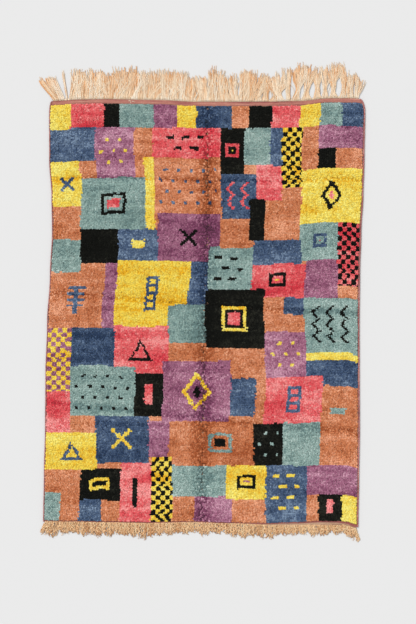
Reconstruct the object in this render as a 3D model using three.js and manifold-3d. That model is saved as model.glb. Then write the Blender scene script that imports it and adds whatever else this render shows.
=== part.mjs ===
// A hand-knotted wool pile rug, lying flat with its face up, in millimetres.
//
// +X runs across the rug, +Y along it towards the long fringe, and +Z is up. The rug rests on z = 0.
// Its pieces are the pile field on its woven ground, a flat-woven band at each end, an overcast
// selvedge cord down each side, and the warp ends that leave the bands as two fringes.
import * as THREE from "three";
import { mergeVertices } from "three/addons/utils/BufferGeometryUtils.js";
import Module from "manifold-3d";

const wasm = await Module();
wasm.setup();

// Driving dimensions of the rug before it settles out of square.
const FIELD = { width: 1690, length: 2250, thickness: 13 };
const BAND = { top: 22, bottom: 8, thickness: 4.5 };
const SELVEDGE = { width: 8, height: 8.5, sides: 8 };
const HEADING = { depth: 8, thickness: 4.4, root: 1.5 };
const GAP = 0.32;

const HALF_WIDTH = FIELD.width / 2;
const HALF_LENGTH = FIELD.length / 2;

// How far each side of the rug has wandered to the right of square, by height above the lower end.
const SIDES = [
  { up: 0, left: -32, right: -38 },
  { up: 250, left: -28, right: -34 },
  { up: 500, left: -22, right: -30 },
  { up: 780, left: -20, right: -31 },
  { up: 1060, left: -11, right: -32 },
  { up: 1340, left: 5, right: -29 },
  { up: 1560, left: 16, right: -22 },
  { up: 1760, left: 13, right: -11 },
  { up: 1950, left: 1, right: -5 },
  { up: 2250, left: 0, right: 0 },
];

// How far each end of the rug has wandered up from square, by place across it. The last rows round
// the two right corners.
const ENDS = [
  { across: -845, top: 0, bottom: 7 },
  { across: -680, top: 3, bottom: 5 },
  { across: -545, top: 4, bottom: 2 },
  { across: -265, top: 2, bottom: -2 },
  { across: -60, top: -8, bottom: 2 },
  { across: 120, top: -8, bottom: -3 },
  { across: 335, top: -7, bottom: -8 },
  { across: 500, top: -4, bottom: -3 },
  { across: 660, top: 11, bottom: 3 },
  { across: 785, top: 11, bottom: 1 },
  { across: 845, top: -6, bottom: -14 },
];

// The pile rounds over towards the edges of the field: how far in, and how much lower it is there.
const SHOULDER = [
  { inward: 0, drop: 4 },
  { inward: 7, drop: 1.2 },
  { inward: 18, drop: 0.2 },
  { inward: 36, drop: 0 },
];

// Soft troughs where the rug was stored folded. The long one runs up the middle of the field, and
// the others run across it on a slant, from a height at the left side to one at the right side.
const LONG_FOLD = { across: 5, half: 42, depth: 3.6 };
const CROSS_FOLDS = [
  { left: 640, right: 480, half: 48, depth: 2.6 },
  { left: 1230, right: 1120, half: 44, depth: 1.8 },
  { left: 1852, right: 1838, half: 40, depth: 2.2 },
];
const FOLD_MARKS = [-1, -0.5, 0, 0.5, 1];

// Between the folds the pile swells a little, unevenly.
const SWELL = { height: 0.8, across: 410, along: 530 };

// Steps of the grid in each plain stretch between a shoulder and a fold, or two folds.
const PLAIN_STEPS = { across: 8, along: 4 };

// The warp ends of each fringe: how far they reach and how far their tips lean to the right.
const TOP_FRINGE = {
  strands: 132,
  width: 8,
  height: 4.6,
  steps: 4,
  clump: { sway: 9, every: 190 },
  uneven: 0.12,
  rows: [
    { across: -845, reach: 108, lean: -74 },
    { across: -800, reach: 122, lean: -56 },
    { across: -765, reach: 142, lean: -26 },
    { across: -735, reach: 166, lean: -6 },
    { across: -600, reach: 176, lean: 4 },
    { across: -480, reach: 163, lean: 8 },
    { across: -250, reach: 166, lean: 4 },
    { across: -120, reach: 158, lean: 6 },
    { across: -50, reach: 128, lean: 4 },
    { across: 110, reach: 142, lean: 4 },
    { across: 200, reach: 172, lean: 0 },
    { across: 290, reach: 148, lean: 4 },
    { across: 400, reach: 156, lean: -4 },
    { across: 480, reach: 176, lean: 2 },
    { across: 660, reach: 184, lean: 2 },
    { across: 760, reach: 178, lean: 6 },
    { across: 810, reach: 138, lean: 16 },
    { across: 845, reach: 106, lean: 34 },
  ],
};
const BOTTOM_FRINGE = {
  strands: 92,
  width: 11,
  height: 5,
  steps: 3,
  clump: { sway: 5, every: 126 },
  uneven: 0.16,
  rows: [
    { across: -845, reach: 64, lean: -16 },
    { across: -700, reach: 66, lean: -2 },
    { across: -560, reach: 62, lean: 2 },
    { across: -300, reach: 78, lean: 0 },
    { across: -100, reach: 52, lean: 2 },
    { across: 100, reach: 54, lean: -2 },
    { across: 300, reach: 66, lean: 2 },
    { across: 480, reach: 52, lean: 0 },
    { across: 640, reach: 60, lean: 0 },
    { across: 780, reach: 74, lean: 4 },
    { across: 845, reach: 86, lean: 16 },
  ],
};
// The share of its size that a strand loses from its root to its tip, before it comes to a point.
const STRAND_TAPER = 0.45;
// How far each strand's tip strays on its own, as a share of the space between two strands.
const STRAY = 0.1;

const WOOL = new THREE.MeshStandardMaterial({ color: 0xc47a56, roughness: 0.95, metalness: 0 });
const ROSE = new THREE.MeshStandardMaterial({ color: 0xb4766a, roughness: 0.9, metalness: 0 });
const CREAM = new THREE.MeshStandardMaterial({ color: 0xdebc98, roughness: 0.92, metalness: 0 });
const SAND = new THREE.MeshStandardMaterial({ color: 0xc49e7a, roughness: 0.92, metalness: 0 });

function smooth(share) {
  const t = THREE.MathUtils.clamp(share, 0, 1);
  return t * t * (3 - 2 * t);
}

// A value read from a table at a place, easing from each row to the next.
function read(rows, place, at, column, ease = smooth) {
  const next = rows.findIndex((row) => row[place] >= at);
  if (next === 0) return rows[0][column];
  if (next < 0) return rows.at(-1)[column];
  const [a, b] = [rows[next - 1], rows[next]];
  const share = ease((at - a[place]) / (b[place] - a[place]));
  return THREE.MathUtils.lerp(a[column], b[column], share);
}

// Grid lines from one edge to the other: close at the shoulders and folds, even between them.
function gridLines(half, folds, plainSteps) {
  const shoulder = SHOULDER.slice(1).map((row) => half - row.inward);
  const lower = [-half, ...shoulder.map((line) => -line)];
  const upper = [...shoulder.toReversed(), half];
  const marks = folds.map(({ at, reach }) => FOLD_MARKS.map((mark) => at + mark * reach));
  const stops = [lower, ...marks, upper];
  const shares = Array.from({ length: plainSteps - 1 }, (_, k) => (k + 1) / plainSteps);
  return stops.flatMap((stop, i) => {
    const next = stops[i + 1];
    if (!next) return stop;
    return [...stop, ...shares.map((t) => THREE.MathUtils.lerp(stop.at(-1), next[0], t))];
  });
}

const LINES_ACROSS = gridLines(
  HALF_WIDTH,
  [{ at: LONG_FOLD.across, reach: LONG_FOLD.half }],
  PLAIN_STEPS.across,
);

// The ends run straight from each grid line to the next, so that what they carry follows them.
const END_LINES = LINES_ACROSS.map((across) => ({
  across,
  top: read(ENDS, "across", across, "top"),
  bottom: read(ENDS, "across", across, "bottom"),
}));

// Where a point of the square rug lies once the rug has wandered out of square.
function laid(x, y) {
  const { clamp, lerp } = THREE.MathUtils;
  const acrossShare = clamp(x / FIELD.width + 0.5, 0, 1);
  const upShare = clamp(y / FIELD.length + 0.5, 0, 1);
  const [left, right] = ["left", "right"].map((side) => read(SIDES, "up", y + HALF_LENGTH, side));
  const [bottom, top] = ["bottom", "top"].map((end) =>
    read(END_LINES, "across", x, end, (share) => share),
  );
  return [x + lerp(left, right, acrossShare), y + lerp(bottom, top, upShare)];
}

// A geometry with each point moved by place(x, y, z), which returns the new point.
function moved(geometry, place) {
  const at = geometry.getAttribute("position");
  for (let i = 0; i < at.count; i += 1) {
    at.setXYZ(i, ...place(at.getX(i), at.getY(i), at.getZ(i)));
  }
  return geometry;
}

// The same, with the result laid as the rug lies.
function laidOut(geometry, place = (x, y, z) => [x, y, z]) {
  return moved(geometry, (x, y, z) => {
    const [px, py, pz] = place(x, y, z);
    return [...laid(px, py), pz];
  });
}

// Where a cross fold runs at a place across the rug, in the square rug's Y.
function foldLine(fold, x) {
  return THREE.MathUtils.lerp(fold.left, fold.right, x / FIELD.width + 0.5) - HALF_LENGTH;
}

// One soft trough, 1 at its middle and 0 from half its width on.
function trough(distance, half) {
  return 1 - smooth(Math.abs(distance) / half);
}

// The height of the pile's top over a point of the square field.
function pileTop(x, y) {
  const inward = Math.min(HALF_WIDTH - Math.abs(x), HALF_LENGTH - Math.abs(y));
  const swell =
    Math.sin((x / SWELL.across) * Math.PI) * Math.cos((y / SWELL.along) * Math.PI) * SWELL.height;
  const drop = read(SHOULDER, "inward", inward, "drop");
  const crossed = CROSS_FOLDS.reduce(
    (sum, fold) => sum + fold.depth * trough(y - foldLine(fold, x), fold.half),
    0,
  );
  const long = LONG_FOLD.depth * trough(x - LONG_FOLD.across, LONG_FOLD.half);
  return FIELD.thickness + swell - drop - crossed - long;
}

// The grid lines met when going up the field at a place across it.
function linesAlong(x) {
  const folds = CROSS_FOLDS.map((fold) => ({ at: foldLine(fold, x), reach: fold.half }));
  return gridLines(HALF_LENGTH, folds, PLAIN_STEPS.along);
}

// A flat slab of grid cells, its points put by column, row and whether they are on top.
function makeSlab(columns, rows, place) {
  const box = new THREE.BoxGeometry(columns, rows, 1, columns, rows, 1);
  return laidOut(box, (i, j, k) =>
    place(Math.round(i + columns / 2), Math.round(j + rows / 2), k > 0),
  );
}

function makePileField() {
  const along = LINES_ACROSS.map((x) => linesAlong(x));
  return makeSlab(LINES_ACROSS.length - 1, along[0].length - 1, (column, row, onTop) => {
    const x = LINES_ACROSS[column];
    const y = along[column][row];
    return [x, y, onTop ? pileTop(x, y) : 0];
  });
}

// A strip across the whole rug that meets the pile field's end all the way.
function makeStrip(low, high, thickness) {
  return makeSlab(LINES_ACROSS.length - 1, 1, (column, row, onTop) => [
    LINES_ACROSS[column],
    row > 0 ? high : low,
    onTop ? thickness : 0,
  ]);
}

// The overcast cord down one side, as a low oval rib that stands on one of its flats.
function makeSelvedge(side) {
  const ends = { low: -HALF_LENGTH - BAND.bottom, high: HALF_LENGTH + BAND.top };
  const stations = [ends.low, ...linesAlong(side * HALF_WIDTH), ends.high];
  const { width, height, sides } = SELVEDGE;
  const steps = stations.length - 1;
  const turn = Math.PI / sides;
  const radius = 0.5 / Math.cos(turn);
  const rib = new THREE.CylinderGeometry(radius, radius, steps, sides, steps, false, turn);
  return laidOut(rib, (x, j, z) => [
    side * (HALF_WIDTH + GAP + width / 2) + x * width,
    stations[Math.round(j + steps / 2)],
    z * height + height / 2,
  ]);
}

// A repeatable uneven number from -1 to 1 for each strand, and for each of its uses.
const UNEVEN = { strand: 12.9898, use: 78.233, spread: 43758.5453 };
function uneven(strand, use) {
  const wave = Math.sin(strand * UNEVEN.strand + use * UNEVEN.use) * UNEVEN.spread;
  return 2 * (wave - Math.floor(wave)) - 1;
}

// The three-sided section of a strand before it gets its width and height: one corner is up, and the
// other two are this far down and to the side.
const CORNER = { down: 1 / 2, aside: Math.sqrt(3) / 2 };

// One strand along +Y from the origin, bending to the side as it goes. It is a ridge that lies on one
// of its three sides, and only its last step comes to a point.
function makeStrand({ width, height, steps }, reach, sideways) {
  const cone = new THREE.ConeGeometry(1, 1, 3, steps);
  return moved(cone.translate(0, 0.5, 0), (x, share, z) => {
    const left = 1 - share;
    const size = left > 0 ? (1 - STRAND_TAPER * share) / left : 0;
    const across = (x * size * width) / (2 * CORNER.aside);
    const up = ((z + CORNER.down * left) * size * height) / (1 + CORNER.down);
    return [across + sideways(share), share * reach, up];
  });
}

const SAME_POINT = 1e-4;

function asSolid(geometry) {
  const bare = geometry.clone();
  bare.deleteAttribute("normal");
  bare.deleteAttribute("uv");
  const merged = mergeVertices(bare, SAME_POINT);
  return new wasm.Manifold(
    new wasm.Mesh({
      numProp: 3,
      vertProperties: merged.getAttribute("position").array,
      triVerts: new Uint32Array(merged.index.array),
    }),
  );
}

function asGeometry(solid) {
  const mesh = solid.getMesh();
  const geometry = new THREE.BufferGeometry();
  geometry.setAttribute("position", new THREE.BufferAttribute(mesh.vertProperties, 3));
  geometry.setIndex(new THREE.BufferAttribute(mesh.triVerts, 1));
  geometry.computeVertexNormals();
  return geometry;
}

// A fringe: its strands fused into the narrow heading that the warp ends leave the band by.
function makeFringe(fringe, band, towards) {
  const near = towards * (HALF_LENGTH + 2 * GAP + band);
  const far = near + towards * HEADING.depth;
  const heading = makeStrip(Math.min(near, far), Math.max(near, far), HEADING.thickness);
  const root = near + towards * HEADING.root;
  const pitch = FIELD.width / fringe.strands;
  const { sway, every } = fringe.clump;
  const strands = Array.from({ length: fringe.strands }, (_, i) => {
    const across = (i + 0.5) * pitch - HALF_WIDTH;
    const [reach, lean] = ["reach", "lean"].map((c) => read(fringe.rows, "across", across, c));
    const clump = sway * Math.sin((across / every) * 2 * Math.PI);
    const stray = STRAY * pitch * uneven(i, 2);
    const strand = makeStrand(
      fringe,
      reach * (1 + fringe.uneven * uneven(i, 1)),
      (share) => towards * (lean + clump + stray) * smooth(share),
    );
    // A half turn about Z points the lower fringe away from the rug.
    if (towards < 0) strand.rotateZ(Math.PI);
    return laidOut(strand.translate(across, root, 0));
  });
  return asGeometry(wasm.Manifold.union([heading, ...strands].map(asSolid)));
}

const FIELD_END = HALF_LENGTH + GAP;

const PIECES = [
  ["pile_field", makePileField(), WOOL],
  ["band_top", makeStrip(FIELD_END, FIELD_END + BAND.top, BAND.thickness), ROSE],
  ["band_bottom", makeStrip(-FIELD_END - BAND.bottom, -FIELD_END, BAND.thickness), ROSE],
  ["selvedge_left", makeSelvedge(-1), ROSE],
  ["selvedge_right", makeSelvedge(1), ROSE],
  ["fringe_top", makeFringe(TOP_FRINGE, BAND.top, 1), CREAM],
  ["fringe_bottom", makeFringe(BOTTOM_FRINGE, BAND.bottom, -1), SAND],
];

const rug = new THREE.Group();
for (const [name, geometry, material] of PIECES) {
  const mesh = new THREE.Mesh(geometry, material);
  mesh.name = name;
  rug.add(mesh);
}

// The origin is on the floor under the middle of the whole rug, fringes included.
const middle = new THREE.Box3().setFromObject(rug).getCenter(new THREE.Vector3());
rug.position.set(-middle.x, -middle.y, 0);

export default new THREE.Group().add(rug);
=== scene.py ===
# A hand-knotted wool pile rug on a pale floor, seen from straight above.
#
# Lengths in the tables are in millimetres, on the rug before it wanders out of square. Every piece is put
# in metres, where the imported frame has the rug.
import math
from collections import namedtuple

import bpy
import numpy as np
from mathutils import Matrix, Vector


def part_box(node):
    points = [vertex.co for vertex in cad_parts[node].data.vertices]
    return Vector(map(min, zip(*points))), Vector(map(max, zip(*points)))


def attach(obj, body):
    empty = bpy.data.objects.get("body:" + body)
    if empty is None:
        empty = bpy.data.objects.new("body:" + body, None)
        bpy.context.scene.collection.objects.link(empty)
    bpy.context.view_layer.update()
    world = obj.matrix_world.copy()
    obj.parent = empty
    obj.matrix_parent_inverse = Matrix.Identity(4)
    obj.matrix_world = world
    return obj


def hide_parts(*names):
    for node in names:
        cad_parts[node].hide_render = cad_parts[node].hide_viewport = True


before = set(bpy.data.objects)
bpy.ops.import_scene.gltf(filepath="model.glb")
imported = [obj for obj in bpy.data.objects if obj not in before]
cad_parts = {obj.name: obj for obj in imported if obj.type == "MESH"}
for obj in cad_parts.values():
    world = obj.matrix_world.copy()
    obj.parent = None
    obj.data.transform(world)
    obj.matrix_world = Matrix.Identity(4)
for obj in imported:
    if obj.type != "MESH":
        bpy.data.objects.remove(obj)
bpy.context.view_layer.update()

MM = 0.001

# The rug's own sizes. The warp ends start a little way inside the heading that they leave, and the gap is
# what lies between neighbouring pieces.
FIELD = dict(width=1690, length=2250, thickness=13)
BAND = dict(top=22, bottom=8)
SELVEDGE = dict(width=8, right_extra=2.5, height=8.5)
HEADING = dict(depth=8, root=0.5)
GAP = 0.32
HALF_WIDTH = FIELD["width"] / 2
HALF_LENGTH = FIELD["length"] / 2

# How far each side has wandered to the right of square, by height above the lower end.
Side = namedtuple("Side", "up left right")
SIDES = (
    Side(0, -32, -38),
    Side(250, -28, -34),
    Side(500, -22, -30),
    Side(780, -20, -31),
    Side(1060, -11, -32),
    Side(1340, 5, -29),
    Side(1560, 16, -22),
    Side(1760, 13, -11),
    Side(1950, 1, -5),
    Side(2250, 0, 0),
)

# How far each end has wandered up from square, by place across it.
End = namedtuple("End", "across top bottom")
ENDS = (
    End(-845, -4, 7),
    End(-680, 4, 5),
    End(-545, 6, 2),
    End(-265, 2, -2),
    End(-60, -8, 2),
    End(120, -8, -3),
    End(335, -7, -8),
    End(500, -4, -3),
    End(660, 11, 3),
    End(785, 11, 1),
    End(845, 7, -14),
)

# The pile rounds over towards its edges: how far in, and how much lower it is there.
Shoulder = namedtuple("Shoulder", "inward drop")
SHOULDER = (Shoulder(0, 4), Shoulder(7, 1.2), Shoulder(18, 0.2), Shoulder(36, 0))

# Soft troughs where the rug was stored folded, as in the frame's pile field. One runs up the rug. The
# others run across it, from their height above the lower end at the left side to that at the right.
LONG_FOLD = dict(across=5, half=42, depth=3.6)
Fold = namedtuple("Fold", "left right half depth")
CROSS_FOLDS = (Fold(640, 480, 48, 2.6), Fold(1230, 1120, 44, 1.8), Fold(1852, 1838, 40, 2.2))
SWELL = dict(height=0.8, across=410, along=530)

# The tufts in a fold are creased: they part, some sink, and painted shade darkens some, most of them only a
# little. A cross fold has a share of that, over a share of its width.
CREASE = dict(half=84, fade=1.6, steady=0.85, parted=1.4, parted_half=26)
CREASED_TUFT = dict(painted_shade=1.9, painted_shade_power=1.3, sunk=8, sunk_power=2)
CROSS_CREASE = dict(share=0.5, width=0.6)

# The upper corners are rounded: how far each is drawn in at its top, over what height, and how far in
# from the edge the weave follows.
CORNER = dict(left=14, right=27, height=77, follow=110)

# The warp ends of each fringe: how far they reach, how far their tips lean to the right, and how much
# they gather in bunches on the way.
Warp = namedtuple("Warp", "across reach lean gather", defaults=(0,))
TOP_WARPS = (
    Warp(-845, 120, -80),
    Warp(-772, 128, -56),
    Warp(-759, 152, -24),
    Warp(-743, 162, 2),
    Warp(-675, 160, 3, 0.1),
    Warp(-590, 166, 5, 0.1),
    Warp(-545, 136, 4, 0.1),
    Warp(-450, 172, 6, 0.1),
    Warp(-340, 150, 4, 0.1),
    Warp(-240, 160, 4, 0.1),
    Warp(-150, 166, 5, 0.1),
    Warp(-80, 130, 6, 0.2),
    Warp(-20, 140, 4, 0.2),
    Warp(40, 178, 0, 0.1),
    Warp(85, 152, 2, 0.1),
    Warp(150, 146, 4, 0.2),
    Warp(200, 172, 0, 0.2),
    Warp(310, 138, 4, 0.7),
    Warp(400, 156, -4, 0.7),
    Warp(490, 205, 2, 0.9),
    Warp(560, 166, 2, 1),
    Warp(625, 160, 0, 1),
    Warp(690, 184, 4, 1),
    Warp(740, 182, 4, 0.9),
    Warp(778, 120, 6, 0.7),
    Warp(820, 136, 8, 0.4),
    Warp(845, 96, 22, 0.1),
)
BOTTOM_WARPS = (
    Warp(-845, 74, -30),
    Warp(-800, 80, -14),
    Warp(-700, 74, -2),
    Warp(-560, 74, 2),
    Warp(-300, 84, 0),
    Warp(-100, 62, 2),
    Warp(100, 68, -2),
    Warp(300, 80, 2),
    Warp(480, 68, 0),
    Warp(640, 68, 0),
    Warp(780, 80, 5),
    Warp(845, 90, 18),
)

# Each fringe lies in layers, thick and even yarns on the floor under thinner ones. A layer has so many
# yarns with so many points along each, from thin to thick. They lie from low to high, have from the
# least to the most of the fringe's reach, and are so pale and so uneven. They lean in bunches and stray
# on their own, wave or curl round so far, and are pinched together so much in small bunches.
Layer = namedtuple(
    "Layer",
    "count points thin thick low high least most tone uneven lean wave stray pinch curl",
    defaults=(0, 0, 0),
)
# In each fringe the lower layer is deeper in tone, partly as painted shade in the gaps between the yarns
# above.
LONG_LAYERS = (
    Layer(
        count=880, points=8, thin=2.8, thick=3.6, low=2.2, high=2.8, least=0.84, most=0.98,
        tone=0.3, uneven=0.14, lean=8, wave=2, stray=8,
    ),
    Layer(
        count=860, points=12, thin=1.6, thick=2.3, low=3.2, high=5.2, least=0.9, most=1.07,
        tone=0.62, uneven=0.34, lean=50, wave=3.6, stray=17, pinch=0.6,
    ),
)
SHORT_LAYERS = (
    Layer(
        count=310, points=10, thin=3.4, thick=4.4, low=2.6, high=3.2, least=0.84, most=1.0,
        tone=0.34, uneven=0.3, lean=5, wave=5, curl=11,
    ),
    Layer(
        count=400, points=22, thin=2.0, thick=2.8, low=3.6, high=6.2, least=0.84, most=1.06,
        tone=0.58, uneven=0.42, lean=7, wave=6.5, curl=17,
    ),
)

# No yarn starts nearer to the sides of the rug than this.
YARN_MARGIN = 2

# Yarns that lie together: how wide a bunch of them is, how uneven, and the seed of its edges.
Bunch = namedtuple("Bunch", "width uneven seed")
SMALL_BUNCH = Bunch(12, 0.4, 62)
LARGE_BUNCH = Bunch(50, 0.46, 63)
LOBE = Bunch(46, 0.42, 72)

# What each large bunch of the long fringe does on its own: how much shorter it is towards its edges, how
# early it is narrowest, how close it gathers to its middle, and how far it sways.
GATHER = dict(seed=64, bunches=60, longest=1.02, shorter=0.24, half=27, narrowest=(0.5, 1.5))
GATHER_CLOSE = dict(least=0.55, most=1.05, to_middle=0.95)
SWAY = 20

# How the yarns of the long fringe lie. None leans past the farthest, they lean less where they gather, and
# those near the corners are calm. Their tips drop to the floor, and they are twisted by a part of a turn.
LONG_SEED = 65
LONG_LIE = dict(farthest=100, gathered=0.6, curved=0.6)
LONG_CALM = dict(left=0.1, right=0.3, left_edge=14, right_edge=40)
LONG_REACH = dict(less=-0.06, more=0.04)
LONG_WAVE = dict(least=0.3, slow=8, fast=17, calm=0.3)
LONG_HEIGHT = dict(uneven=0.6, drop=0.4, drop_from=0.375, root=1.2)
LONG_TONE = 0.2
LONG_TWIST = (0.1, 0.5)

# How the yarns of the short fringe lie: how long a lobe of them is, how much shorter towards its edges,
# and how far and how fast its yarns curl.
SHORT_LOBE = dict(seed=73, least=0.88, most=1.14, shorter=0.24, half=26, tone=0.1)
SHORT_CURL = dict(least=0.6, most=1.15, slow=0.8, fast=1.3, drop=0.4, lift=0.9)
SHORT_TWIST = (0.8, 1.6)
SHORT_SEED = 75

# How a yarn is made: how far it is flattened, how much it tapers over its last part, and how its tone
# and its light change along it and around it. Its waves start anywhere in a turn, in radians, and it fills
# so much of its cell in the bake map.
YARN = dict(sides=3, flattened=0.8, taper=0.45, taper_from=0.8, next_turn=2.4, lowest=0.05)
YARN_TONE = dict(wobble=0.06, waves=7, shift=9, tip=0.2, pale_to=0.4)
YARN_RISE = dict(base=0.25, level=0.45, around=0.3, root=0.2)
FULL_TURN = 6.3
CELL_FILLED = 0.8

# How much further down the lower end is woven, by place across: the rose band widens into the right
# corner, and the heading of the short fringe is left longer towards it.
Further = namedtuple("Further", "across down")
STRAIGHT = (Further(-845, 0), Further(845, 0))
LOWER_BAND = (Further(-845, 0), Further(725, 0), Further(845, 9))
LOWER_HEADING = (Further(-845, -3), Further(230, -3), Further(500, 7), Further(690, 13), Further(845, 13))

# The weave of each strip: its ribs and rows, how high its top lies, how thick it is, how far its weft
# beats over and under, how pale it is, and its seed. All are a little rough, and paler where they are high,
# from painted shade where they are low.
Weave = namedtuple("Weave", "ribs rows top depth relief tone seed")
WEAVES = dict(
    end_band_top=Weave(180, 8, 3.7, 3, 0.45, 0.45, 12),
    end_band_bottom=Weave(130, 3, 3.7, 3, 0.45, 0.2, 15),
    heading_long=Weave(120, 3, 4.2, 3.6, 0.2, 0.62, 12),
    heading_short=Weave(120, 5, 3.9, 3.3, 0.35, 0.8, 13),
)
BEAT = dict(rough=0.1, row_step=9, low=0.1, span=0.8)

# The turns of yarn over each edge: how many, how thick next to their ring, how far they stray, fill their
# place and slant, how they differ in size and tone, how painted shade darkens their undersides, and the
# cord inside them.
OVERCAST = dict(turns=380, seed=40, yarn=0.42, stray=0.5, fill=1.35, slant=0.35, lowest=0.15)
OVERCAST_SIZES = dict(wide=(0.94, 1.06), tall=(0.95, 1.03))
OVERCAST_TONE_AND_SHADE = dict(middle=0.55, uneven=0.2, rise=0.55, around=0.5)
CORD = dict(steps=90, sides=8, wrapped=1.6, short=1, tone=0.4)

# The gap that sets the fan of warp ends at the upper left corner apart, where few ends are left.
NOTCH = dict(across=-758, width=29, kept=0.42, drawn_in=0.2)

# Threads of the warp that show where the upper band has worn through.
Bare = namedtuple("Bare", "across up length")
WORN_SPOT = (Bare(-424, 15, 15), Bare(-405, 12, 17), Bare(-416, 8, 8))
BARE_WARP = dict(points=6, radius=1.5, turns=0.3, tone=0.9, low=3.6, arch=1.3, sway=1.5, bends=5)

# The knots of the pile, what a tuft is like, and how it lies. A loose end arches over from the top of its
# tuft and droops at its tip. On the back, the knots of a row run together.
KNOTS = dict(across=200, along=270, inset=2.5, seed=21)
TUFT = dict(foot=1.4, radius=7.9, sizes=(0.92, 1.1), shoulder=0.62, jitter=1.3, stagger=2.1, bow=1.5)
TUFT_HEIGHT = dict(shorter=-1, longer=0.4, uneven=1.1)
LEAN = dict(down=2.2, own=1.3)
LOOSE_END = dict(share=0.76, shoulder=0.45, least=8, most=15, radius=1.5, flattened=0.7, at_edge=0.5)
LOOSE_END_ARCH = ((0, LOOSE_END["shoulder"], 1), (-3.2, 0.7, -0.9))
LOOSE_END_TURN = 0.9
KNOT_BACK = dict(longest=20, low=0.2, high=1.0, row=0.94, tone=0.45, rise=0.7)
GROUND = dict(top=3.0, depth=2.1, inset=2, columns=26, rows=34, tone=0.4, rise=0.5)
BAKE_MARGIN = 60

# How pale the knots are, from 0 to 1: in the middle, and how much they differ by patch, by knot and at
# their loose ends, some of which are pale flecks, painted highlights where fibre tips catch the light.
TONE = dict(seed=5, middle=0.5, patch=0.16, knot=0.14, least=0.02, most=0.98)
END_TONE = dict(paler=0.05, uneven=0.17, tip_highlight=0.3, tip_highlighted=0.14)

# Things that drift softly: how much, over what distance across and down, and the seed. The distances are
# in knots for the pile's dyes and tufts, and in millimetres or rows for the creases, strips and edges.
Drift = namedtuple("Drift", "amount across down seed")
PATCH_EDGES_ACROSS = (Drift(1.3, 40, 26, 1), Drift(0.3, 12, 1.2, 2))
PATCH_EDGES_DOWN = (Drift(1.3, 30, 44, 3), Drift(0.2, 3, 14, 4))
STREAKS = (Drift(0.15, 34, 3, 6), Drift(0.15, 24, 8, 7))
MOTTLE = (Drift(0.14, 3.2, 2.6, 8),)
TUFT_HEIGHTS = (Drift(0.6, 2.3, 2.1, 22),)
CLUMPS_ACROSS = (Drift(2.8, 2.7, 2.3, 23),)
CLUMPS_DOWN = (Drift(2.8, 2.4, 2.6, 24),)
LOOSE_END_TURNS = (Drift(math.pi, 4, 3.4, 25),)
CREASE_DEPTHS = (Drift(0.15, 4000, 190, 26),)
STRIP_WAVES = (Drift(0.5, 60, 5, 31),)
WEFT_LINES = (Drift(0.3, 110, 1, 32), Drift(0.15, 30, 1, 33))
OVERCAST_TONES = (Drift(0.25, 36, 1, 41),)

# The dyes of the pile, with their deep, body and pale colours, how uneven they took, and how full their
# tufts are.
Dye = namedtuple("Dye", "name deep body pale uneven full")
DYES = (
    Dye("terracotta", (157, 81, 43), (193, 120, 80), (224, 162, 127), 1.0, 1),
    Dye("sage", (100, 126, 124), (137, 161, 155), (175, 193, 187), 1.0, 1),
    Dye("blue", (34, 52, 80), (69, 88, 116), (121, 140, 163), 1.0, 1),
    Dye("coral", (196, 49, 62), (215, 92, 95), (232, 150, 147), 1.9, 1.02),
    Dye("plum", (113, 56, 86), (156, 100, 125), (199, 151, 170), 1.2, 1),
    Dye("yellow", (216, 163, 24), (223, 196, 74), (230, 219, 119), 1.1, 1.15),
    Dye("black", (4, 5, 2), (11, 12, 8), (38, 38, 31), 1.0, 1),
)


# The marks that a patch can hold: 1 is the mark's own dye, 2 its heart, and 0 leaves the patch bare. The
# sizes of their lines, gaps and steps are in knots.


def plain(u, v, width, height):
    return 0 * u


def filled(u, v, width, height):
    return 1 + 0 * u


def chequer(u, v, width, height, check=3):
    return (u // check + v // check) % 2


def dots(u, v, width, height, across=8, down=7, dot=2):
    row = v // down
    spot = (v % down >= down - dot) & ((u + row % 2 * across // 2) % across >= across - dot)
    return spot & (u < width - 1) & (v < height - 2)


def dashes(u, v, width, height, dash=5, down=7, line=2):
    return (v % down < line) & ((u + v // down % 2 * dash) % (2 * dash) < dash) & (u < width - 1)


def box(u, v, width, height, line=2, gap=2):
    ring = np.minimum(np.minimum(u, width - 1 - u), np.minimum(v, height - 1 - v))
    return (ring < line) + 2 * (ring >= line + gap)


def lozenge(u, v, width, height, line=5.5, heart=0.3):
    ring = abs(2 * u + 1 - width) / width + abs(2 * v + 1 - height) / height
    return ((ring < 1) & (ring > 1 - line / min(width, height))) + 2 * (ring < heart)


def zigzag(u, v, width, height, swing=4, apart=9, line=2):
    along = u - abs(v % (2 * swing) - swing)
    whole = along // apart * apart + swing + line <= width
    return (along >= 0) & (along % apart < line) & whole


def cross(u, v, width, height, line=1.3):
    near = line / min(width, height)
    across, down = (u + 0.5) / width, (v + 0.5) / height
    return (abs(across - down) < near) | (abs(across + down - 1) < near)


def comb(u, v, width, height, stem=2, tooth=2, down=4, toothed=0.7):
    return (abs(2 * u + 1 - width) <= stem) | ((v % down < tooth) & (v < height * toothed))


def peak(u, v, width, height, line=4.2, base=2):
    inside = (v + 0.5) / height - abs(2 * u + 1 - width) / width
    return (inside > 0) & ((inside < line / width) | (v >= height - base))


def ladder(u, v, width, height, rail=2, down=5):
    return (u < rail) | (u >= width - rail) | (v % down < rail)


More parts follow.
